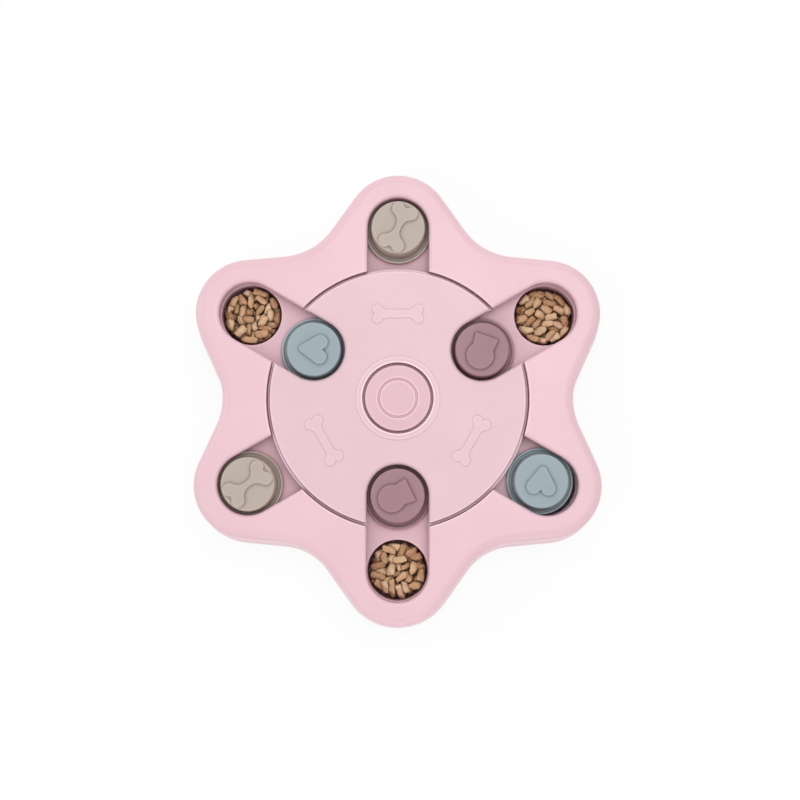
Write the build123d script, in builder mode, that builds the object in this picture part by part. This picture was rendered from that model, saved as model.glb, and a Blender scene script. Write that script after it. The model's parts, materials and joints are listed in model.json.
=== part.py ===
from build123d import *
import os
from math import acos, atan2, cos, degrees, hypot, pi, radians, sin, sqrt, tan
from random import Random

# Dog puzzle feeder: a six-lobed tray with a food well in every lobe, a slotted
# cover, a slotted turntable in the middle, and six round knobs that slide over
# the wells. Millimetres. The origin is on the turntable's axis, on the surface
# that the feet stand on, with +Z up. Lobe 1 points at 30 degrees from +X and the
# rest follow counterclockwise; odd lobes hold kibble, even lobes hide a knob's well.

# ---- driving dimensions ---------------------------------------------------

# Plan: the turntable first, then outwards to the lobes
lobes = 6
first_lobe = 30.0          # direction of lobe 1, degrees from +X
disc_radius = 77.0
knob_radius = 17.2         # widest part of a knob cap
skirt_inset = 1.3          # turntable's rim to its skirt, and to a knob that stands on it
mouth_run = 9.2            # slot between the turntable and a knob over its well
held_back = 4.2            # knob 6 stands this far in from its well
lobe_reach = 36.6          # a well's centre to the tip of its lobe
lobe_round = 35.5          # radius of a lobe's end
waist_band = 32.2          # turntable's rim to the bottom of a hollow between lobes
hollow_round = 35.8        # radius of a hollow
flare = 6.5                # outward lean of the outer wall, degrees

# Heights
tray_foot = 2.0            # lower edge of the tray's outer wall
seam_height = 13.0         # where the cover's skirt meets the tray's wall
deck_height = 25.0         # floor that the knobs slide on
cover_top = 38.0           # top of the cover and of the turntable
knob_top = 39.4            # face of a knob

# Walls
tray_wall = 2.4
deck_thickness = 2.5
cover_wall = 2.6
top_plate = 3.0
lip_wall = 2.4             # hanging walls round the openings and slots
rib_wall = 1.8
seam_gap = 0.3             # cover skirt to the tray's upright wall

# Wells
well_radius = 18.4         # at the deck
well_floor = 4.5           # inside bottom of a well
well_draft = 2.0           # degrees
well_corner = 2.6          # round between a well's side and floor
well_lip = 0.8             # round of a well's upper edge

# Sliding shoes of the knobs
side_play = 1.4            # knob cap to slot wall
capture = 0.2              # flange still under the lip with the knob pushed aside
slide_gap = 0.2            # shoe to deck
lip_gap = 0.6              # shoe to the lips above it
flange_thickness = 2.4
flange_edge = 0.4
groove_depth = 0.9         # ring-shaped groove inside the flange's rim
groove_inner = 14.0
groove_rim = 1.2
stud_radius = 3.6
stud_head = 4.3
stud_length = 6.2
head_height = 1.6
head_taper = 20.0          # degrees

# Knob caps
spin_gap = 0.4             # cap to shoe
cap_wall = 2.0
cap_face = 2.4
cap_slimming = 1.2         # a cap is this much less in radius at its top
cap_edge = 1.0
stud_gap = 0.3
boss_wall = 2.2
cat_turn = (-20.0, -64.0)  # turn of each figure about its knob's axis, degrees
bone_turn = (67.0, 39.0)
heart_turn = (266.0, 173.0)

# Raised figures on the knobs
motif_rise = 1.2
motif_slope = 35.0         # lean of a figure's sides, degrees
bone_length = 30.0
bone_shaft = 4.6
bone_knuckle = 4.5
bone_knuckle_gap = 8.4     # between the two knuckles of one end
bone_neck = 6.0            # hollow curve from a knuckle to the shaft
heart_lobe = 4.9
heart_lobe_side = 4.4
heart_lobe_up = 3.9
heart_point = 3.0
heart_point_down = 6.3
cat_head = 8.8
cat_head_down = 3.9
cat_ear_side = 7.9         # tips of the ears, which the brow joins
cat_ear_up = 9.1
cat_foot_side = 6.9        # where the ears meet the head
cat_foot_up = 0.8
cat_round = 0.8

# Turntable
disc_gap = 2.0             # turntable rim to cover
step_gap = 0.4             # step below the turntable's rim to the cover
step_drop = 1.4            # underside of the turntable's plate to the step
step_thickness = 1.8
bead_width = 3.4
bead_rise = 0.3
ledge_thickness = 2.4
steady_clear = 2.0         # flange of a knob to the ring that keeps the turntable level
steady_wall = 2.4
steady_gap = 0.3
disc_bone_length = 31.0
disc_bone_shaft = 5.0
disc_bone_knuckle = 3.2
disc_bone_gap = 5.4
disc_bone_neck = 4.0
disc_bone_rise = 0.5
disc_bone_slope = 45.0     # degrees

# Hub
spindle_radius = 16.4
spindle_gap = 0.3
shoulder_height = 30.4
shoulder_width = 3.4       # shoulder that the thrust washer lies on
foot_width = 7.6           # spindle's foot beyond its column
hub_margin = 5.1           # spindle to the turntable's hub opening
foot_thickness = 2.5
washer_thickness = 0.5
washer_gap = 0.1
cap_lift = 0.6             # hub cap's skirt above the turntable's ledge
hub_gap = 1.7              # hub cap to turntable
hub_rise = 0.2             # hub cap stands this much above the turntable
spigot_wall = 2.0          # ring under the hub cap that centres it in the spindle
spigot_gap = 0.2
spigot_depth = 2.4
dimple_inner = 10.5
dimple_outer = 12.3
dimple_depth = 0.5
post_radius = 5.2
post_lift = 0.5            # post's end above the deck

# Edges
shoulder_round = 6.0       # top edge of the cover
slot_round = 2.1           # top edges of the slots
rim_round = 0.8

# Fasteners and feet
screw_inset = 17.2         # bottom of a hollow to its screw
screw_boss = 5.0
screw_shank = 1.5
screw_pilot = 1.55
screw_clear = 1.8
screw_head = 3.2
screw_head_height = 2.2
screw_slot = 0.7
head_room = 3.6
head_seat = 14.0
boss_foot = 8.0
screw_bite = 7.0
pilot_spare = 1.0
hub_boss = 7.5
foot_pad_radius = 9.0
foot_pad_height = 2.8
foot_pad_gap = 0.2

# Kibble in the open wells
kibble_gap = 0.4
kibble_bed = 19.0          # the heap is solid up to this height
kibble_crown = 24.5        # and no piece stands higher than this
kibble_radius = (1.9, 2.5)
kibble_half = (1.2, 2.4)   # middle of a piece to the centre of its end's round
kibble_nesting = 0.86      # how closely rough pieces bed into each other
kibble_cut = 0.4           # blunting of a piece's ends, as a part of its radius
kibble_poured = 230        # pieces tipped over a well, many of which don't find room
kibble_tries = 30          # places that a piece rolls over before it stops

# ---- sizes that follow ----------------------------------------------------

pitch = 360 / lobes
disc_lobes = [1, 3, 5]
cover_lobes = [2, 4, 6]

skirt_radius = disc_radius - skirt_inset
disc_station = skirt_radius - knob_radius
lobe_station = disc_radius + mouth_run + knob_radius
held_station = lobe_station - held_back
opening_radius = disc_radius + disc_gap
step_radius = opening_radius - step_gap
waist_radius = disc_radius + waist_band
lobe_centre = lobe_station + lobe_reach - lobe_round
hollow_centre = waist_radius + hollow_round
screw_station = waist_radius - screw_inset

slot_half = knob_radius + side_play
flange_radius = slot_half + side_play + capture
flange_bottom = deck_height + slide_gap
flange_top = flange_bottom + flange_thickness
lip_bottom = flange_top + lip_gap
steady_radius = disc_station - flange_radius - steady_clear
cap_bottom = flange_top + spin_gap

plate_bottom = cover_top - top_plate
shoulder_base = cover_top - shoulder_round - rim_round
deck_bottom = deck_height - deck_thickness
well_bottom = well_floor - tray_wall
floor_radius = well_radius - (deck_height - well_floor) * tan(radians(well_draft))
tongue_inset = cover_wall + seam_gap
step_bottom = seam_height - tray_wall

shoulder_radius = spindle_radius + shoulder_width
foot_radius = spindle_radius + foot_width
hub_hole = spindle_radius + hub_margin
ledge_bottom = shoulder_height + washer_thickness + washer_gap
ledge_top = ledge_bottom + ledge_thickness
spindle_top = ledge_top + cap_lift
spigot_radius = spindle_radius - spigot_wall - spigot_gap
bore_radius = spigot_radius - spigot_wall
bone_station = (hub_hole + bead_width + disc_radius) / 2
hub_radius = hub_hole - hub_gap
hub_top = cover_top + hub_rise
cap_seat = spindle_top + cap_wall
post_bottom = deck_height + post_lift
screw_tip = deck_height + screw_bite


def lobe_angle(number):
    """Direction of a lobe, degrees from +X."""
    return first_lobe + (number - 1) * pitch


def polar(radius, angle):
    """Point at a radius and direction."""
    return (radius * cos(radians(angle)), radius * sin(radians(angle)))


def inset_at(height):
    """How far the flared outer wall has drawn in at a height."""
    return (height - tray_foot) * tan(radians(flare))


rib_reach = waist_radius - tongue_inset - inset_at(deck_height)
boss_rib_reach = waist_radius - cover_wall / 2 - inset_at(plate_bottom) - screw_station


def star(inset):
    """Outline of round lobes and hollows, drawn in by an inset."""
    lobe_r = lobe_round - inset
    hollow_r = hollow_round + inset
    dx = hollow_centre * cos(radians(pitch / 2)) - lobe_centre
    dy = hollow_centre * sin(radians(pitch / 2))
    # Common tangent between a lobe's end and the next hollow
    tangent = degrees(atan2(dy, dx) - acos((lobe_r + hollow_r) / hypot(dx, dy)))
    hollow_sweep = tangent - pitch / 2
    with BuildSketch() as outline:
        with BuildLine():
            for number in range(1, lobes + 1):
                tip = lobe_angle(number)
                dip = tip + pitch / 2
                CenterArc(polar(lobe_centre, tip), lobe_r, tip - tangent, 2 * tangent)
                CenterArc(polar(hollow_centre, dip), hollow_r, dip + 180 + hollow_sweep, -2 * hollow_sweep)
                for side in (-1, 1):
                    on_lobe = Vector(*polar(lobe_centre, dip + side * pitch / 2))
                    on_lobe += Vector(*polar(lobe_r, dip - side * hollow_sweep))
                    on_hollow = Vector(*polar(hollow_centre, dip))
                    on_hollow += Vector(*polar(hollow_r, dip + 180 - side * hollow_sweep))
                    Line(on_lobe, on_hollow)
        make_face()
    return outline.sketch


def flared(inset, low, high):
    """Solid between two heights whose side leans in with the outer wall, set in by an inset."""
    with BuildPart() as body:
        for height in (low, high):
            with BuildSketch(Plane.XY.offset(height)):
                add(star(inset + inset_at(height)))
        loft(ruled=True)
    return body.part


def slots(numbers, station, half_width, reach):
    """Slots whose round end is centred at a station; they run from it to reach."""
    with BuildSketch() as shape:
        for number in numbers:
            angle = lobe_angle(number)
            with Locations(Location((*polar(station, angle), 0), (0, 0, angle))):
                Circle(half_width)
            with Locations(Location((*polar((station + reach) / 2, angle), 0), (0, 0, angle))):
                Rectangle(abs(station - reach), 2 * half_width)
    return shape.sketch


def ring(outer, inner):
    """Flat ring about the axis."""
    with BuildSketch() as shape:
        Circle(outer)
        Circle(inner, mode=Mode.SUBTRACT)
    return shape.sketch


def is_rim(edge):
    """True for the arcs of the turntable's rim and of the round opening, false for the edges of slots."""
    return edge.geom_type == GeomType.CIRCLE and edge.radius > lobe_round


# ---- base tray ------------------------------------------------------------

with BuildPart() as base_tray:
    add(flared(0, tray_foot, seam_height))
    add(flared(tongue_inset, seam_height, deck_height))
    add(flared(tray_wall, tray_foot, step_bottom), mode=Mode.SUBTRACT)
    add(flared(tongue_inset + tray_wall, step_bottom, deck_bottom), mode=Mode.SUBTRACT)
    # Ribs under the deck, from the hub to the wells and to the hollows
    with BuildSketch(Plane.XY.offset(seam_height)):
        with PolarLocations(0, lobes, start_angle=first_lobe):
            Rectangle(lobe_station - well_radius, rib_wall, align=(Align.MIN, Align.CENTER))
        with PolarLocations(0, lobes, start_angle=first_lobe + pitch / 2):
            Rectangle(rib_reach, rib_wall, align=(Align.MIN, Align.CENTER))
    extrude(amount=deck_bottom - seam_height)
    # Hub boss and screw bosses
    with BuildSketch(Plane.XY.offset(boss_foot)):
        Circle(hub_boss)
        with PolarLocations(screw_station, lobes, start_angle=first_lobe + pitch / 2):
            Circle(screw_boss)
    extrude(amount=deck_bottom - boss_foot)
    # Wells, drawn inward towards their floors
    with BuildSketch(Plane.XY.offset(well_bottom)):
        with PolarLocations(lobe_station, lobes, start_angle=first_lobe):
            Circle(floor_radius + tray_wall)
    extrude(amount=deck_bottom - well_bottom, taper=-well_draft)
    with BuildSketch(Plane.XY.offset(well_floor)):
        with PolarLocations(lobe_station, lobes, start_angle=first_lobe):
            Circle(floor_radius)
    extrude(amount=deck_height - well_floor, taper=-well_draft, mode=Mode.SUBTRACT)
    deck = base_tray.faces().filter_by(Plane.XY).group_by(Axis.Z)[-1]
    fillet(deck[0].inner_wires().edges(), radius=well_lip)
    floors = base_tray.faces().filter_by(Plane.XY).group_by(Axis.Z)[2]
    fillet(floors.edges(), radius=well_corner)
    # Seats of the rubber feet
    with BuildSketch(Plane.XY.offset(well_bottom)):
        with PolarLocations(lobe_station, lobes, start_angle=first_lobe):
            Circle(foot_pad_radius + foot_pad_gap)
    extrude(amount=foot_pad_height - well_bottom, mode=Mode.SUBTRACT)
    # Screw holes, with room for the heads from below
    with BuildSketch(Plane.XY.offset(boss_foot)):
        Circle(screw_clear)
        with PolarLocations(screw_station, lobes, start_angle=first_lobe + pitch / 2):
            Circle(screw_clear)
    extrude(amount=deck_height - boss_foot, mode=Mode.SUBTRACT)
    with BuildSketch(Plane.XY.offset(boss_foot)):
        Circle(head_room)
        with PolarLocations(screw_station, lobes, start_angle=first_lobe + pitch / 2):
            Circle(head_room)
    extrude(amount=head_seat - boss_foot, mode=Mode.SUBTRACT)

# ---- top cover ------------------------------------------------------------

with BuildPart() as top_cover:
    with BuildSketch(Plane.XY.offset(shoulder_base)):
        add(star(inset_at(shoulder_base)))
    extrude(amount=cover_top - shoulder_base)
    fillet(top_cover.faces().sort_by(Axis.Z)[-1].edges(), radius=shoulder_round)
    add(flared(0, seam_height, shoulder_base))
    add(flared(cover_wall, seam_height, plate_bottom), mode=Mode.SUBTRACT)
    # Hanging lips round the turntable's opening and the slots
    with BuildSketch(Plane.XY.offset(lip_bottom)):
        Circle(opening_radius + lip_wall)
        add(slots(range(1, lobes + 1), lobe_station, slot_half + lip_wall, 0))
    extrude(amount=plate_bottom - lip_bottom)
    with BuildSketch(Plane.XY.offset(lip_bottom)):
        Circle(opening_radius)
        add(slots(range(1, lobes + 1), lobe_station, slot_half, 0))
    extrude(amount=cover_top - lip_bottom, mode=Mode.SUBTRACT)
    opening = top_cover.faces().sort_by(Axis.Z)[-1].inner_wires().edges()
    fillet(opening.filter_by(lambda edge: not is_rim(edge)), radius=slot_round)
    opening = top_cover.faces().sort_by(Axis.Z)[-1].inner_wires().edges()
    fillet(opening.filter_by(is_rim), radius=rim_round)
    # Screw bosses that stand on the deck, each tied to the skirt by a rib
    with BuildSketch(Plane.XY.offset(deck_height)):
        with PolarLocations(screw_station, lobes, start_angle=first_lobe + pitch / 2):
            Circle(screw_boss)
    extrude(amount=plate_bottom - deck_height)
    with BuildSketch(Plane.XY.offset(lip_bottom)):
        with PolarLocations(screw_station, lobes, start_angle=first_lobe + pitch / 2):
            Rectangle(boss_rib_reach, rib_wall, align=(Align.MIN, Align.CENTER))
    extrude(amount=plate_bottom - lip_bottom)
    with BuildSketch(Plane.XY.offset(deck_height)):
        with PolarLocations(screw_station, lobes, start_angle=first_lobe + pitch / 2):
            Circle(screw_pilot)
    extrude(amount=screw_bite + pilot_spare, mode=Mode.SUBTRACT)

# ---- turntable ------------------------------------------------------------


def bone(length, shaft, knuckle, gap, neck):
    """Plain bone figure lying along X."""
    with BuildSketch() as shape:
        Rectangle(length - 2 * knuckle, shaft)
        with GridLocations(length - 2 * knuckle, gap, 2, 2):
            Circle(knuckle)
        fillet(shape.vertices().filter_by(lambda corner: abs(corner.Y) < shaft / 4), radius=knuckle / 4)
        fillet(shape.vertices().filter_by(lambda corner: abs(corner.Y) > shaft / 4), radius=neck)
    return shape.sketch


disc_bone = bone(disc_bone_length, disc_bone_shaft, disc_bone_knuckle, disc_bone_gap, disc_bone_neck)

with BuildPart() as turntable:
    with BuildSketch(Plane.XY.offset(plate_bottom)):
        add(ring(disc_radius, hub_hole))
    extrude(amount=top_plate)
    # Rim skirt, slot lips and hub wall
    with BuildSketch(Plane.XY.offset(lip_bottom)):
        add(ring(skirt_radius, skirt_radius - lip_wall))
        add(slots(disc_lobes, disc_station, slot_half + lip_wall, opening_radius))
        with BuildSketch(mode=Mode.INTERSECT):
            Circle(skirt_radius)
    extrude(amount=plate_bottom - lip_bottom)
    # Step that stands out below the rim and fills most of the gap to the cover
    with BuildSketch(Plane.XY.offset(plate_bottom - step_drop - step_thickness)):
        add(ring(step_radius, skirt_radius - lip_wall))
    extrude(amount=step_thickness)
    with BuildSketch(Plane.XY.offset(ledge_bottom)):
        add(ring(hub_hole + lip_wall, spindle_radius + spindle_gap))
    extrude(amount=ledge_thickness)
    with BuildSketch(Plane.XY.offset(ledge_top)):
        add(ring(hub_hole + lip_wall, hub_hole))
    extrude(amount=cover_top - ledge_top)
    # Ring that steadies the turntable over the deck
    with BuildSketch(Plane.XY.offset(deck_height + steady_gap)):
        add(ring(steady_radius, steady_radius - steady_wall))
    extrude(amount=plate_bottom - deck_height - steady_gap)
    # Stiffening ribs between the slots
    with BuildSketch(Plane.XY.offset(ledge_bottom)):
        for number in cover_lobes:
            for side in (-pitch / 4, 0, pitch / 4):
                with Locations(Location((0, 0, 0), (0, 0, lobe_angle(number) + side))):
                    with Locations((hub_hole, 0)):
                        Rectangle(skirt_radius - lip_wall - hub_hole, rib_wall, align=(Align.MIN, Align.CENTER))
    extrude(amount=plate_bottom - ledge_bottom)
    # Slots through everything
    with BuildSketch(Plane.XY.offset(deck_height)):
        add(slots(disc_lobes, disc_station, slot_half, opening_radius))
    extrude(amount=cover_top - deck_height, mode=Mode.SUBTRACT)
    outline = turntable.faces().sort_by(Axis.Z)[-1].outer_wire().edges()
    fillet(outline.filter_by(lambda edge: not is_rim(edge)), radius=slot_round)
    outline = turntable.faces().sort_by(Axis.Z)[-1].outer_wire().edges()
    fillet(outline.filter_by(is_rim), radius=rim_round)
    # Bead round the hub and three faint bones
    with BuildSketch(Plane.XY.offset(cover_top)):
        add(ring(hub_hole + bead_width, hub_hole))
    extrude(amount=bead_rise)
    with BuildSketch(Plane.XY.offset(cover_top)):
        for number in cover_lobes:
            angle = lobe_angle(number)
            with Locations(Location((*polar(bone_station, angle), 0), (0, 0, angle + 90))):
                add(disc_bone)
    extrude(amount=disc_bone_rise, taper=disc_bone_slope)

# ---- hub ------------------------------------------------------------------

with BuildPart() as spindle:
    with BuildSketch(Plane.XZ):
        with BuildLine():
            Polyline(
                (bore_radius, deck_height),
                (foot_radius, deck_height),
                (foot_radius, deck_height + foot_thickness),
                (shoulder_radius, deck_height + foot_thickness),
                (shoulder_radius, shoulder_height),
                (spindle_radius, shoulder_height),
                (spindle_radius, spindle_top),
                (spindle_radius - spigot_wall, spindle_top),
                (spindle_radius - spigot_wall, spindle_top - spigot_depth - spigot_gap),
                (bore_radius, spindle_top - spigot_depth - spigot_gap),
                close=True,
            )
        make_face()
    revolve(axis=Axis.Z)

with BuildPart() as thrust_washer:
    with BuildSketch(Plane.XY.offset(shoulder_height)):
        add(ring(shoulder_radius, spindle_radius + spindle_gap))
    extrude(amount=washer_thickness)

with BuildPart() as hub_cap:
    with BuildSketch(Plane.XY.offset(cap_seat)):
        Circle(hub_radius)
    extrude(amount=hub_top - cap_seat)
    fillet(hub_cap.faces().sort_by(Axis.Z)[-1].edges(), radius=rim_round)
    # Skirt that keeps the turntable down, land on the spindle, and spigot in its bore
    with BuildSketch(Plane.XY.offset(spindle_top)):
        add(ring(hub_radius, bore_radius))
    extrude(amount=cap_seat - spindle_top)
    with BuildSketch(Plane.XY.offset(spindle_top - spigot_depth)):
        add(ring(spigot_radius, bore_radius))
    extrude(amount=spigot_depth)
    with BuildSketch(Plane.XY.offset(post_bottom)):
        Circle(post_radius)
    extrude(amount=cap_seat - post_bottom)
    with BuildSketch(Plane.XY.offset(post_bottom)):
        Circle(screw_pilot)
    extrude(amount=screw_tip + pilot_spare - post_bottom, mode=Mode.SUBTRACT)
    # Shallow ring pressed into the face
    with BuildSketch(Plane.XY.offset(hub_top)):
        add(ring(dimple_outer, dimple_inner))
    extrude(amount=-dimple_depth, mode=Mode.SUBTRACT)


def self_tapping_screw():
    """Pan-head screw driven from below, its head against the seat in its boss."""
    head_bottom = head_seat - screw_head_height
    with BuildPart() as screw:
        with BuildSketch(Plane.XY.offset(head_bottom)):
            Circle(screw_head)
        extrude(amount=screw_head_height)
        fillet(screw.edges().sort_by(Axis.Z)[0], radius=screw_head_height / 3)
        with BuildSketch(Plane.XY.offset(head_bottom)):
            Rectangle(screw_head, screw_slot)
            Rectangle(screw_slot, screw_head)
        extrude(amount=screw_head_height / 2, mode=Mode.SUBTRACT)
        with BuildSketch(Plane.XY.offset(head_seat)):
            Circle(screw_shank)
        extrude(amount=screw_tip - head_seat)
        chamfer(screw.edges().sort_by(Axis.Z)[-1], length=screw_shank / 2)
    return screw.part


with BuildPart() as hub_screw:
    add(self_tapping_screw())

with BuildPart() as cover_screws:
    with PolarLocations(screw_station, lobes, start_angle=first_lobe + pitch / 2):
        add(self_tapping_screw())

# ---- knobs ----------------------------------------------------------------


def heart():
    """Plain plump heart, its point towards -Y."""
    with BuildSketch() as shape:
        for side in (-1, 1):
            with BuildSketch():
                with Locations((side * heart_lobe_side, heart_lobe_up)):
                    Circle(heart_lobe)
                with Locations((0, -heart_point_down)):
                    Circle(heart_point)
                make_hull()
    return shape.sketch


def cat():
    """Plain cat's head, its ears towards +Y."""
    with BuildSketch() as shape:
        with Locations((0, -cat_head_down)):
            Circle(cat_head)
        with BuildLine():
            Polyline(
                (-cat_foot_side, cat_foot_up),
                (-cat_ear_side, cat_ear_up),
                (cat_ear_side, cat_ear_up),
                (cat_foot_side, cat_foot_up),
                close=True,
            )
        make_face()
        fillet(shape.vertices(), radius=cat_round)
    return shape.sketch


def shoe(station, angle):
    """Round flange that a knob slides on, with the stud that its cap turns on."""
    place = Location((*polar(station, angle), 0), (0, 0, angle))
    with BuildPart() as body:
        with BuildSketch(Plane.XY.offset(flange_bottom)):
            Circle(flange_radius)
        extrude(amount=flange_thickness)
        chamfer(body.edges().sort_by(Axis.Z)[-1], length=flange_edge)
        with BuildSketch(Plane.XY.offset(flange_top)):
            add(ring(flange_radius - groove_rim, groove_inner))
        extrude(amount=-groove_depth, mode=Mode.SUBTRACT)
        with BuildSketch(Plane.XY.offset(flange_top)):
            Circle(stud_radius)
        extrude(amount=stud_length)
        with BuildSketch(Plane.XY.offset(flange_top + stud_length - head_height)):
            Circle(stud_head)
        extrude(amount=head_height, taper=head_taper)
    return place * body.part


def cap(station, angle, figure, turned):
    """Hollow knob cap with a raised figure, turned on its own axis."""
    place = Location((*polar(station, angle), 0), (0, 0, turned))
    side_taper = degrees(atan2(cap_slimming, knob_top - cap_bottom))
    boss_bottom = cap_bottom + spin_gap
    chamber_bottom = flange_top + stud_length - head_height - stud_gap
    chamber_top = flange_top + stud_length + stud_gap
    bore = stud_radius + stud_gap
    chamber = stud_head + stud_gap
    with BuildPart() as body:
        with BuildSketch(Plane.XY.offset(cap_bottom)):
            Circle(knob_radius)
        extrude(amount=knob_top - cap_bottom, taper=side_taper)
        fillet(body.edges().sort_by(Axis.Z)[-1], radius=cap_edge)
        with BuildSketch(Plane.XY.offset(cap_bottom)):
            Circle(knob_radius - cap_wall)
        extrude(amount=knob_top - cap_face - cap_bottom, taper=side_taper, mode=Mode.SUBTRACT)
        with BuildSketch(Plane.XY.offset(boss_bottom)):
            Circle(chamber + boss_wall)
        extrude(amount=knob_top - cap_face - boss_bottom)
        with BuildSketch(Plane.XY.offset(boss_bottom)):
            Circle(bore)
        extrude(amount=chamber_top - boss_bottom, mode=Mode.SUBTRACT)
        with BuildSketch(Plane.XY.offset(chamber_bottom)):
            Circle(chamber)
        extrude(amount=chamber_top - chamber_bottom, mode=Mode.SUBTRACT)
        with BuildSketch(Plane.XY.offset(knob_top)):
            add(figure)
        extrude(amount=motif_rise, taper=motif_slope)
    return place * body.part


knob_bone = bone(bone_length, bone_shaft, bone_knuckle, bone_knuckle_gap, bone_neck)
knob_heart = heart()
knob_cat = cat()

# Knob number: its figure, where it stands, and how far its figure is turned
knobs = {
    1: ("cat", knob_cat, disc_station, cat_turn[0]),
    2: ("bone", knob_bone, lobe_station, bone_turn[0]),
    3: ("heart", knob_heart, disc_station, heart_turn[0]),
    4: ("bone", knob_bone, lobe_station, bone_turn[1]),
    5: ("cat", knob_cat, disc_station, cat_turn[1]),
    6: ("heart", knob_heart, held_station, heart_turn[1]),
}

# ---- kibble and feet ------------------------------------------------------


def kibble_pile(seed):
    """Pieces dropped into a well, each as the two ends of its core line and its radius."""
    chance = Random(seed)
    room = well_radius - kibble_gap - (deck_height - well_floor) * tan(radians(well_draft))
    pieces = []
    balls = []

    def rest(x, y, radius):
        """Height at which a ball comes to lie on what is already there."""
        height = well_floor + kibble_gap + radius
        for ball_x, ball_y, ball_z, ball_radius in balls:
            apart = hypot(x - ball_x, y - ball_y)
            reach = (radius + ball_radius) * kibble_nesting
            if apart < reach:
                height = max(height, ball_z + sqrt(reach**2 - apart**2))
        return height

    for _ in range(kibble_poured):
        radius = chance.uniform(*kibble_radius)
        half = chance.uniform(*kibble_half)
        lowest = None
        for _ in range(kibble_tries):
            way = chance.uniform(0, 2 * pi)
            lean = chance.uniform(0, pi)
            reach = sqrt((room - radius) ** 2 - (half * sin(lean)) ** 2) - half * abs(cos(lean))
            station = reach * sqrt(chance.random())
            x, y = station * cos(way), station * sin(way)
            dx, dy = half * cos(way + lean), half * sin(way + lean)
            first = rest(x - dx, y - dy, radius)
            second = rest(x + dx, y + dy, radius)
            lift = max(0, rest(x, y, radius) - (first + second) / 2)
            middle = (first + second) / 2 + lift
            if lowest is None or middle < lowest[0]:
                start = Vector(x - dx, y - dy, first + lift)
                end = Vector(x + dx, y + dy, second + lift)
                lowest = (middle, start, end)
        _, start, end = lowest
        if max(start.Z, end.Z) + radius > kibble_crown:
            continue
        # The well is wider higher up
        spread = 1 + (min(start.Z, end.Z) - well_floor) * tan(radians(well_draft)) / room
        start = Vector(start.X * spread, start.Y * spread, start.Z)
        end = Vector(end.X * spread, end.Y * spread, end.Z)
        pieces.append((start, end, radius))
        for ball in (start, (start + end) / 2, end):
            balls.append((*ball, radius))
    return pieces


def kibble_piece(start, end, radius):
    """Short blunt rod round a core line."""
    along = (end - start).normalized()
    with BuildPart() as rod:
        with BuildSketch(Plane(origin=start - along * radius, z_dir=along)):
            Circle(radius)
        extrude(amount=(end - start).length + 2 * radius)
        chamfer(rod.edges().filter_by(GeomType.CIRCLE), length=kibble_cut * radius)
    return rod.part


def kibble_fill(number):
    """Loose kibble that fills a lobe's well, as one solid: a bed, and the pieces that lie on it."""
    floor_line = well_floor + kibble_gap
    with BuildPart() as body:
        with BuildSketch(Plane.XY.offset(floor_line)):
            Circle(floor_radius - kibble_gap)
        extrude(amount=kibble_bed - floor_line, taper=-well_draft)
        chamfer(body.edges().sort_by(Axis.Z)[0], length=well_corner)
        for start, end, radius in kibble_pile(number):
            if max(start.Z, end.Z) + radius > kibble_bed + kibble_cut:
                add(kibble_piece(start, end, radius))
    return Location((*polar(lobe_station, lobe_angle(number)), 0)) * body.part


with BuildPart() as foot_pad:
    with BuildSketch():
        Circle(foot_pad_radius)
    extrude(amount=foot_pad_height)
    chamfer(foot_pad.edges().sort_by(Axis.Z)[0], length=rim_round)

# ---- write the parts ------------------------------------------------------

pieces = {
    "base_tray": base_tray.part,
    "top_cover": top_cover.part,
    "turntable": turntable.part,
    "spindle": spindle.part,
    "thrust_washer": thrust_washer.part,
    "hub_cap": hub_cap.part,
    "hub_screw": hub_screw.part,
    "cover_screws": cover_screws.part,
}
for number, (name, figure, station, turned) in knobs.items():
    pieces[f"knob_shoe_{number}"] = shoe(station, lobe_angle(number))
    pieces[f"{name}_knob_{number}"] = cap(station, lobe_angle(number), figure, turned)
for number in disc_lobes:
    pieces[f"kibble_fill_{number}"] = kibble_fill(number)
for number in range(1, lobes + 1):
    pieces[f"rubber_foot_{number}"] = Location((*polar(lobe_station, lobe_angle(number)), 0)) * foot_pad.part

os.makedirs("parts", exist_ok=True)
for name, piece in pieces.items():
    piece.label = name
    export_step(piece, f"parts/{name}.step")
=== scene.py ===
import json
import math
from random import Random

import bmesh
import bpy
import numpy as np
from mathutils import Matrix, Vector, noise


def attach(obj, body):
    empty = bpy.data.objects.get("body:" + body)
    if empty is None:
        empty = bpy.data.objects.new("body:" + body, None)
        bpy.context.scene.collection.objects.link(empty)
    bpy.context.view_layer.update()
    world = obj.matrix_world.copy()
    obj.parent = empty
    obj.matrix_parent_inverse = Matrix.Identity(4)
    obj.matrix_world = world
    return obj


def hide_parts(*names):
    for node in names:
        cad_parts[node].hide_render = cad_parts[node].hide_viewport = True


# Dog puzzle feeder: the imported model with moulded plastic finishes, and real kibble in its three open wells.

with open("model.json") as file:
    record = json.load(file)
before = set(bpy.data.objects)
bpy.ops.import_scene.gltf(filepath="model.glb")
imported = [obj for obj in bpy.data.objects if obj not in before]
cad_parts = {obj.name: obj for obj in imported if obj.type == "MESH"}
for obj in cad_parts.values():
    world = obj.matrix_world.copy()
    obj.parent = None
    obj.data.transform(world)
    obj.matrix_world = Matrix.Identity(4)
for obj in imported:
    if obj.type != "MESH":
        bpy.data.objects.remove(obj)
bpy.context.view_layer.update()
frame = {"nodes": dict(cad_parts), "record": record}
scene = bpy.context.scene

MM = 0.001


# ---- camera ---------------------------------------------------------------

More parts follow.
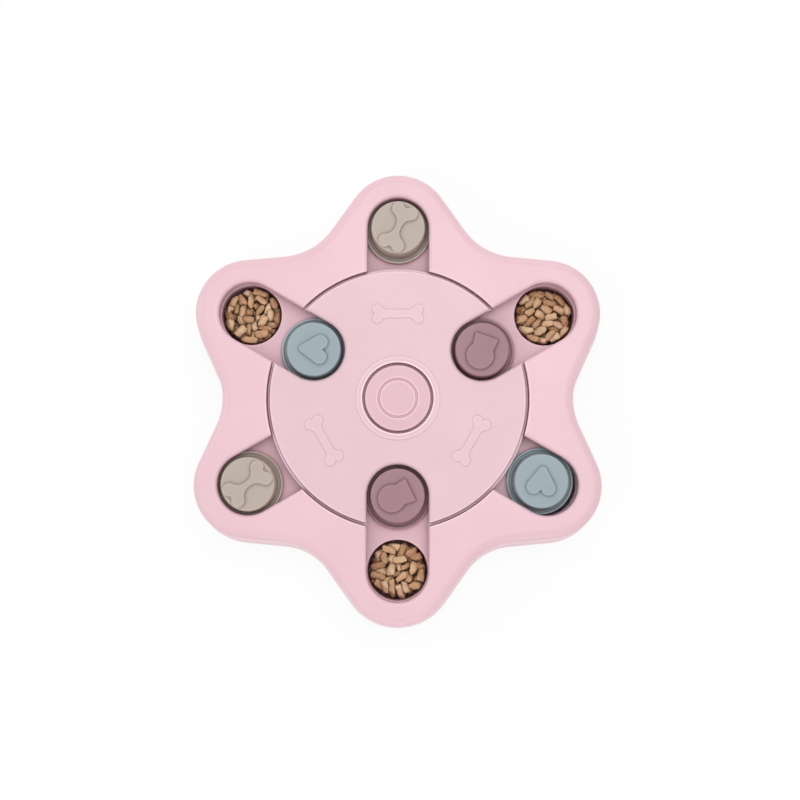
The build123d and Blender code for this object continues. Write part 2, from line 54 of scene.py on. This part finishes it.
def make_camera():
    """Looks almost straight down on the feeder, from a little to its south."""
    image_width = 800
    sensor_width = 36.0
    focal_pixels = 1362.9
    aim = Vector((1.3, -1.2, 38.0)) * MM
    distance = 817.6 * MM
    azimuth = math.radians(0.2)
    elevation = math.radians(85.83)
    roll = math.radians(0.3)
    forward = Vector((
        math.sin(azimuth) * math.cos(elevation),
        math.cos(azimuth) * math.cos(elevation),
        -math.sin(elevation),
    ))
    right = Vector((math.cos(azimuth), -math.sin(azimuth), 0))
    up = right.cross(forward)
    axes = Matrix((right, up, -forward)).transposed().to_4x4()
    data = bpy.data.cameras.new("camera")
    data.sensor_width = sensor_width
    data.lens = focal_pixels / image_width * sensor_width
    data.clip_start = 0.01
    data.clip_end = 20
    camera = bpy.data.objects.new("camera", data)
    camera.matrix_world = Matrix.Translation(aim - forward * distance) @ axes @ Matrix.Rotation(roll, 4, "Z")
    scene.collection.objects.link(camera)
    scene.camera = camera


make_camera()


# ---- materials ------------------------------------------------------------

class Shader:
    """A node tree with one Principled shader, and short calls for the nodes that feed it."""

    def __init__(self, name):
        self.material = bpy.data.materials.new(name)
        self.material.use_nodes = True
        self.tree = self.material.node_tree
        self.principled = self.tree.nodes["Principled BSDF"]
        self.position = self.node("ShaderNodeTexCoord").outputs["Object"]

    def node(self, kind, **settings):
        made = self.tree.nodes.new(kind)
        for key, value in settings.items():
            setattr(made, key, value)
        return made

    def link(self, source, target):
        self.tree.links.new(source, target)

    def noise(self, scale, detail=2.0, roughness=0.5, distortion=0.0):
        """Noise whose features are about 1 / scale metres wide."""
        made = self.node("ShaderNodeTexNoise")
        made.inputs["Scale"].default_value = scale
        made.inputs["Detail"].default_value = detail
        made.inputs["Roughness"].default_value = roughness
        made.inputs["Distortion"].default_value = distortion
        self.link(self.position, made.inputs["Vector"])
        return made.outputs["Fac"]

    def spread(self, source, low, high, centre=0.5, half=0.2):
        """Maps a noise value round its centre onto a range."""
        made = self.node("ShaderNodeMapRange")
        made.inputs["From Min"].default_value = centre - half
        made.inputs["From Max"].default_value = centre + half
        made.inputs["To Min"].default_value = low
        made.inputs["To Max"].default_value = high
        self.link(source, made.inputs["Value"])
        return made.outputs["Result"]

    def ramp(self, source, stops):
        """Colours along a value: stops are (place, colour)."""
        made = self.node("ShaderNodeValToRGB")
        elements = made.color_ramp.elements
        while len(elements) < len(stops):
            elements.new(0.5)
        for element, (place, colour) in zip(elements, stops):
            element.position = place
            element.color = (*colour, 1)
        self.link(source, made.inputs["Fac"])
        return made.outputs["Color"]

    def mix(self, factor, first, second, blend="MIX"):
        """Mixes two colours; each input is a socket or a constant."""
        made = self.node("ShaderNodeMix", data_type="RGBA", blend_type=blend)
        sockets = (made.inputs[0], made.inputs[6], made.inputs[7])
        for socket, value in zip(sockets, (factor, first, second)):
            if isinstance(value, bpy.types.NodeSocket):
                self.link(value, socket)
            elif isinstance(value, tuple):
                socket.default_value = (*value, 1)
            else:
                socket.default_value = value
        return made.outputs[2]

    def openness(self, reach, **settings):
        """1 on open faces, less where walls stand within reach, down in corners and gaps."""
        made = self.node("ShaderNodeAmbientOcclusion", samples=12, **settings)
        made.inputs["Distance"].default_value = reach
        return made.outputs["AO"]

    def bump(self, height, distance, strength, under=None):
        made = self.node("ShaderNodeBump")
        made.inputs["Distance"].default_value = distance
        made.inputs["Strength"].default_value = strength
        self.link(height, made.inputs["Height"])
        if under is not None:
            self.link(under, made.inputs["Normal"])
        return made.outputs["Normal"]

    def set(self, **values):
        """Sets the Principled shader's sockets; an underscore in a name stands for a space."""
        for key, value in values.items():
            socket = self.principled.inputs[key.replace("_", " ")]
            if isinstance(value, bpy.types.NodeSocket):
                self.link(value, socket)
            elif isinstance(value, tuple):
                socket.default_value = (*value, 1)
            else:
                socket.default_value = value


def shade(colour, factor):
    """The same colour, lighter or darker."""
    return tuple(min(1.0, part * factor) for part in colour)


def shaded_tint(colour):
    """A darker, more saturated colour: painted shade in a corner or gap of coloured plastic."""
    return tuple(0.9 * part ** 2 for part in colour)


# Moulded plastic: its noises in features per metre, how far they swing, and how far the painted shade and
# painted edge highlights reach
CLOUDS = 22
MOTTLE = 140
WEAR = 60
ORANGE_PEEL = 260
TOOL_GRAIN = 2600
TINT_SWING = 0.03
MOTTLE_SHARE = 0.35
GLOSS_SWING = 0.05
PEEL_DEPTH = 0.12 * MM
PEEL_STRENGTH = 0.16
GRAIN_DEPTH = 0.03 * MM
CORNER_REACH = 2.2 * MM
EDGE_REACH = 1.2 * MM
# Painted highlight on edges that face up, and painted shade on edges that face sideways with a dark line at
# seams, as factors on the colour
EDGE_HIGHLIGHT_FACTOR = 1.55
SIDE_EDGE_SHADE_AND_SEAM = 0.72


def moulded_plastic(name, colour, roughness, grain, corner_shading, edge_highlight, shared=True):
    """Injection-moulded plastic: clouded in colour and gloss, with a faint orange peel and a fine tool grain.

    Painted shade darkens the corners at the foot of raised figures and rims, and a painted highlight lightens
    the rounded edges that face up. The edges that face sideways, along slots and seams, are darkened instead:
    painted shade along the slot walls, and a dark line at the seams. With shared set, the painted shade also
    lies in the gaps between one piece and the next.
    """
    s = Shader(name)
    clouds = s.spread(s.noise(CLOUDS, detail=3), 0, 1)
    mottle = s.spread(s.noise(MOTTLE, detail=2), 0, MOTTLE_SHARE)
    base = s.ramp(clouds, [(0, shade(colour, 1 - TINT_SWING)), (1, shade(colour, 1 + TINT_SWING))])
    base = s.mix(mottle, base, shade(colour, 1 + TINT_SWING / 2))
    facing = s.node("ShaderNodeSeparateXYZ")
    s.link(s.node("ShaderNodeNewGeometry").outputs["Normal"], facing.inputs[0])
    upward = s.spread(facing.outputs["Z"], 0, 1, centre=0.30, half=0.15)
    # Painted highlight on the rounded edges that face up; painted shade on the edges that face sideways, which
    # also gives a dark line at seams
    edge_light_and_shade = s.mix(upward, shade(colour, SIDE_EDGE_SHADE_AND_SEAM), shade(colour, EDGE_HIGHLIGHT_FACTOR))
    edges = s.openness(EDGE_REACH, only_local=True, inside=True)
    base = s.mix(s.spread(edges, edge_highlight, 0, centre=0.84, half=0.14), base, edge_light_and_shade)
    # Painted shade: darker in corners, at the foot of raised figures and rims, and with shared set also in the
    # gaps between pieces
    shading_mask = s.openness(CORNER_REACH, only_local=not shared)
    base = s.mix(s.spread(shading_mask, corner_shading, 0, centre=0.86, half=0.12), base, shaded_tint(colour))
    wear = s.noise(WEAR, detail=4, roughness=0.7)
    peel = s.bump(s.noise(ORANGE_PEEL, detail=1), PEEL_DEPTH, PEEL_STRENGTH)
    fine = s.bump(s.noise(TOOL_GRAIN, detail=2), GRAIN_DEPTH, grain, under=peel)
    s.set(
        Base_Color=base,
        Roughness=s.spread(wear, roughness - GLOSS_SWING, roughness + GLOSS_SWING),
        Normal=fine,
        IOR=1.49,
    )
    return s.material


def brushed_steel(name):
    """Zinc-plated screw steel with fine turned marks."""
    dull_zinc = (0.46, 0.46, 0.47)
    bright_zinc = (0.62, 0.62, 0.64)
    s = Shader(name)
    marks = s.noise(1800, detail=3)
    s.set(
        Base_Color=s.ramp(s.noise(500), [(0.3, dull_zinc), (0.7, bright_zinc)]),
        Metallic=1.0,
        Roughness=s.spread(marks, 0.28, 0.46),
        Normal=s.bump(marks, 0.04 * MM, 0.4),
    )
    return s.material


def foot_rubber(name):
    """Soft grey rubber, matt and slightly pitted."""
    dark_grey = (0.60, 0.56, 0.56)
    pale_grey = (0.72, 0.68, 0.68)
    s = Shader(name)
    pits = s.noise(1500, detail=3, roughness=0.7)
    s.set(
        Base_Color=s.ramp(s.noise(90, detail=3), [(0.3, dark_grey), (0.7, pale_grey)]),
        Roughness=s.spread(pits, 0.72, 0.9),
        Normal=s.bump(pits, 0.08 * MM, 0.5),
    )
    return s.material


def kibble_finish(name):
    """Dry baked kibble: each piece its own tan, toasted darker in patches, with a rough crumbly skin."""
    toasted = (0.42, 0.215, 0.10)
    floury = (0.86, 0.66, 0.45)
    shadowed = (0.16, 0.07, 0.03)
    s = Shader(name)
    geometry = s.node("ShaderNodeNewGeometry")
    own = s.ramp(geometry.outputs["Random Per Island"], [
        (0.0, (0.54, 0.30, 0.155)),
        (0.35, (0.79, 0.51, 0.30)),
        (0.7, (0.98, 0.74, 0.50)),
        (1.0, (0.68, 0.41, 0.225)),
    ])
    toast = s.noise(260, detail=4, roughness=0.65)
    crumbs = s.noise(1300, detail=3, roughness=0.7)
    baked = s.mix(s.spread(toast, 0, 0.55, centre=0.56, half=0.16), own, toasted)
    speckled = s.mix(s.spread(crumbs, 0, 0.4, centre=0.62, half=0.12), baked, floury)
    # Painted shade in the crevices between the pieces
    crevice_shading = s.spread(s.openness(3.5 * MM), 0.97, 0, centre=0.52, half=0.32)
    lumpy = s.bump(toast, 0.6 * MM, 0.5)
    s.set(
        Base_Color=s.mix(crevice_shading, speckled, shadowed),
        Roughness=s.spread(crumbs, 0.68, 0.92),
        Normal=s.bump(crumbs, 0.22 * MM, 0.7, under=lumpy),
        IOR=1.45,
    )
    return s.material


finishes = {
    "screw_steel": brushed_steel("screw_steel"),
    "foot_rubber": foot_rubber("foot_rubber"),
    "kibble": kibble_finish("kibble"),
}

# The body's plastics: colour, roughness, grain, painted shade in the corners and painted highlight on the
# edges
for name, colour, *surface in (
    ("cover_plastic", (0.800, 0.530, 0.585), 0.34, 0.06, 0.45, 0.9),
    ("tray_plastic", (0.785, 0.515, 0.575), 0.40, 0.12, 0.45, 0.7),
    ("turntable_plastic", (0.755, 0.515, 0.565), 0.33, 0.05, 0.55, 0.9),
    ("hub_plastic", (0.725, 0.460, 0.515), 0.34, 0.06, 0.50, 0.8),
    ("washer_plastic", (0.840, 0.840, 0.820), 0.50, 0.12, 0.20, 0.2),
):
    finishes[name] = moulded_plastic(name, colour, *surface)

# The knobs' plastics differ in colour alone
for name, colour in (
    ("beige_plastic", (0.460, 0.385, 0.335)),
    ("blue_plastic", (0.300, 0.370, 0.400)),
    ("purple_plastic", (0.330, 0.180, 0.210)),
):
    finishes[name] = moulded_plastic(name, colour, 0.42, grain=0.18, corner_shading=0.60, edge_highlight=0.5, shared=False)

for part in frame["record"]["subparts"]:
    node = frame["nodes"][part["node"]]
    node.data.materials.clear()
    node.data.materials.append(finishes[part["material_slot"]])


# ---- kibble ---------------------------------------------------------------

# The wells and the pile of the kibble solids, in millimetres: the same pieces come to lie in the same places
FIRST_LOBE = 30
LOBE_STEP = 60
WELL_STATION = 103.4
WELL_RADIUS = 18.4
WELL_DEPTH = 20.5
WELL_LEAN = math.radians(2.0)
WELL_FLOOR = 4.5
GAP = 0.4
CROWN = 24.5
RADIUS = (1.9, 2.5)
HALF = (1.2, 2.4)
NESTING = 0.86
POURED = 230
TRIES = 30
HIDDEN = 12.0  # nothing below this height shows between the pieces above it

# A broken piece: its size as shares of the solids' plain rod, and the roughness of its skin
LENGTH = 1.03
WIDTH = (1.04, 1.14)
THICKNESS = (0.92, 1.06)
SQUARENESS = 6
CHIPS = 8
CHIP_FACE = (0.82, 1.05)
CHIP_CUT = 0.95
LUMP_SCALE, LUMP_HEIGHT = 0.45, 0.13
GRIT_SCALE, GRIT_HEIGHT = 2.2, 0.03
SEED_RANGE = 50


def kibble_pile(seed):
    """Pieces dropped into a well, each as the two ends of its core line and its radius."""
    chance = Random(seed)
    room = WELL_RADIUS - GAP - WELL_DEPTH * math.tan(WELL_LEAN)
    pieces = []
    balls = []

    def rest(x, y, radius):
        """Height at which a ball comes to lie on what is already there."""
        height = WELL_FLOOR + GAP + radius
        for ball_x, ball_y, ball_z, ball_radius in balls:
            apart = math.hypot(x - ball_x, y - ball_y)
            reach = (radius + ball_radius) * NESTING
            if apart < reach:
                height = max(height, ball_z + math.sqrt(reach ** 2 - apart ** 2))
        return height

    for _ in range(POURED):
        radius = chance.uniform(*RADIUS)
        half = chance.uniform(*HALF)
        lowest = None
        for _ in range(TRIES):
            way = chance.uniform(0, 2 * math.pi)
            lean = chance.uniform(0, math.pi)
            sideways, outwards = half * math.sin(lean), half * abs(math.cos(lean))
            reach = math.sqrt((room - radius) ** 2 - sideways ** 2) - outwards
            station = reach * math.sqrt(chance.random())
            x, y = station * math.cos(way), station * math.sin(way)
            dx, dy = half * math.cos(way + lean), half * math.sin(way + lean)
            first = rest(x - dx, y - dy, radius)
            second = rest(x + dx, y + dy, radius)
            lift = max(0, rest(x, y, radius) - (first + second) / 2)
            middle = (first + second) / 2 + lift
            if lowest is None or middle < lowest[0]:
                start = Vector((x - dx, y - dy, first + lift))
                end = Vector((x + dx, y + dy, second + lift))
                lowest = (middle, start, end)
        _, start, end = lowest
        if max(start.z, end.z) + radius > CROWN:
            continue
        # The well is wider higher up
        spread = 1 + (min(start.z, end.z) - WELL_FLOOR) * math.tan(WELL_LEAN) / room
        for point in (start, end):
            point.x *= spread
            point.y *= spread
        pieces.append((start, end, radius))
        for ball in (start, (start + end) / 2, end):
            balls.append((*ball, radius))
    return pieces


def chunk(rng, length, width):
    """One broken piece: a blunt rod along X, snapped off at its ends, its skin uneven and chipped."""
    size = [length * LENGTH, width * rng.uniform(*WIDTH), width * rng.uniform(*THICKNESS)]
    shape = bmesh.new()
    bmesh.ops.create_icosphere(shape, subdivisions=4, radius=1.0)
    faces = [[corner.index for corner in face.verts] for face in shape.faces]
    points = np.array([corner.co[:] for corner in shape.verts])
    shape.free()
    # Squarer than a ball along its length, rounder across
    across = np.hypot(points[:, 1], points[:, 2])
    swell = 1 / (np.abs(points[:, 0]) ** SQUARENESS + across ** SQUARENESS) ** (1 / SQUARENESS)
    points *= swell[:, None]
    # Chips broken off its corners
    for _ in range(CHIPS):
        normal = rng.normal(size=3)
        normal /= np.linalg.norm(normal)
        beyond = points @ normal - rng.uniform(*CHIP_FACE)
        points -= np.maximum(0, beyond)[:, None] * normal * CHIP_CUT
    points *= np.array(size) / 2
    seed = Vector(rng.uniform(-SEED_RANGE, SEED_RANGE, 3))
    for index, point in enumerate(points):
        lump = noise.fractal(Vector(point) * LUMP_SCALE + seed, 1.0, 2.0, 3)
        grit = noise.fractal(Vector(point) * GRIT_SCALE + seed, 1.0, 2.0, 2)
        points[index] = point * (1 + LUMP_HEIGHT * lump + GRIT_HEIGHT * grit)
    return points, faces


def kibble(number):
    """The pieces of kibble in one well, as one mesh of many separate shells."""
    angle = math.radians(FIRST_LOBE + (number - 1) * LOBE_STEP)
    middle = WELL_STATION * np.array((math.cos(angle), math.sin(angle), 0))
    rng = np.random.default_rng(number)
    vertices, faces = [], []
    for start, end, radius in kibble_pile(number):
        if max(start.z, end.z) + radius < HIDDEN:
            continue
        along = end - start
        points, shell = chunk(rng, along.length + 2 * radius, 2 * radius)
        twist = Matrix.Rotation(rng.uniform(0, 2 * math.pi), 3, "X")
        turn = np.array(along.to_track_quat("X", "Z").to_matrix() @ twist)
        points = points @ turn.T + np.array((start + end) / 2) + middle
        first = len(vertices)
        vertices.extend((points * MM).tolist())
        faces.extend([[first + corner for corner in face] for face in shell])
    name = f"kibble_{number}"
    mesh = bpy.data.meshes.new(name)
    mesh.from_pydata(vertices, [], faces)
    mesh.polygons.foreach_set("use_smooth", [True] * len(mesh.polygons))
    pieces = bpy.data.objects.new(name, mesh)
    scene.collection.objects.link(pieces)
    mesh.materials.append(finishes["kibble"])
    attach(pieces, "base")
    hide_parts(f"kibble_fill_{number}")


for number in (1, 3, 5):
    kibble(number)


# ---- floor and light ------------------------------------------------------

PLAIN_WHITE = 1.0      # strength at which a glow is seen as white
FLOOR_HALF = 3.0
FLOOR_WHITE = (0.97, 0.97, 0.97, 1)
FLOOR_GLOW = 0.88      # share of plain white over the floor's own shading
WORLD_WHITE = (1, 1, 1, 1)
WORLD_LIGHT = 0.66     # strength at which the world lights the feeder


def showing(tree):
    """1 for the rays that show the surroundings: from the camera, in a reflection or through something."""
    path = tree.nodes.new("ShaderNodeLightPath")
    shown = path.outputs["Is Camera Ray"]
    for kind in ("Is Glossy Ray", "Is Transmission Ray"):
        either = tree.nodes.new("ShaderNodeMath")
        either.operation = "MAXIMUM"
        tree.links.new(shown, either.inputs[0])
        tree.links.new(path.outputs[kind], either.inputs[1])
        shown = either.outputs[0]
    return shown


def make_floor():
    """White floor that shows as plain white but keeps the feeder's shadow."""
    mesh = bpy.data.meshes.new("floor")
    shading_mask = [(x * FLOOR_HALF, y * FLOOR_HALF, 0) for x, y in ((-1, -1), (1, -1), (1, 1), (-1, 1))]
    mesh.from_pydata(shading_mask, [], [(0, 1, 2, 3)])
    floor = bpy.data.objects.new("floor", mesh)
    scene.collection.objects.link(floor)
    material = bpy.data.materials.new("floor")
    material.use_nodes = True
    tree = material.node_tree
    tree.nodes.clear()
    output = tree.nodes.new("ShaderNodeOutputMaterial")
    diffuse = tree.nodes.new("ShaderNodeBsdfDiffuse")
    diffuse.inputs["Color"].default_value = FLOOR_WHITE
    white = tree.nodes.new("ShaderNodeEmission")
    white.inputs["Strength"].default_value = PLAIN_WHITE
    share = tree.nodes.new("ShaderNodeMath")
    share.operation = "MULTIPLY"
    share.inputs[1].default_value = FLOOR_GLOW
    tree.links.new(showing(tree), share.inputs[0])
    mix = tree.nodes.new("ShaderNodeMixShader")
    tree.links.new(share.outputs[0], mix.inputs["Fac"])
    tree.links.new(diffuse.outputs[0], mix.inputs[1])
    tree.links.new(white.outputs[0], mix.inputs[2])
    tree.links.new(mix.outputs[0], output.inputs["Surface"])
    mesh.materials.append(material)


def make_world():
    """Even pale surroundings; plain white where the camera sees them."""
    world = bpy.data.worlds.new("world")
    scene.world = world
    world.use_nodes = True
    tree = world.node_tree
    background = tree.nodes["Background"]
    background.inputs["Color"].default_value = WORLD_WHITE
    strength = tree.nodes.new("ShaderNodeMapRange")
    strength.inputs["To Min"].default_value = WORLD_LIGHT
    strength.inputs["To Max"].default_value = PLAIN_WHITE
    tree.links.new(showing(tree), strength.inputs["Value"])
    tree.links.new(strength.outputs["Result"], background.inputs["Strength"])


def softbox(name, place, size, watts, aim_height=0.0):
    """Soft area lamp that faces the feeder's axis."""
    data = bpy.data.lights.new(name, "AREA")
    data.shape = "RECTANGLE"
    data.size, data.size_y = size
    data.energy = watts
    lamp = bpy.data.objects.new(name, data)
    lamp.location = place
    direction = Vector((0, 0, aim_height)) - lamp.location
    lamp.rotation_euler = direction.to_track_quat("-Z", "Y").to_euler()
    scene.collection.objects.link(lamp)


make_floor()
make_world()
softbox("key", place=(0.20, 0.34, 1.45), size=(0.9, 0.9), watts=5.6)
softbox("fill", place=(-0.70, -0.55, 1.20), size=(0.7, 0.7), watts=1.6)
softbox("front", place=(0.1, -1.3, 0.45), size=(1.2, 0.5), watts=2.4, aim_height=0.02)
softbox("left", place=(-1.1, 0.25, 0.55), size=(0.5, 0.9), watts=1.5, aim_height=0.02)
softbox("back", place=(0.2, 1.3, 0.50), size=(1.2, 0.5), watts=2.4, aim_height=0.02)
scene.view_settings.view_transform = "Standard"
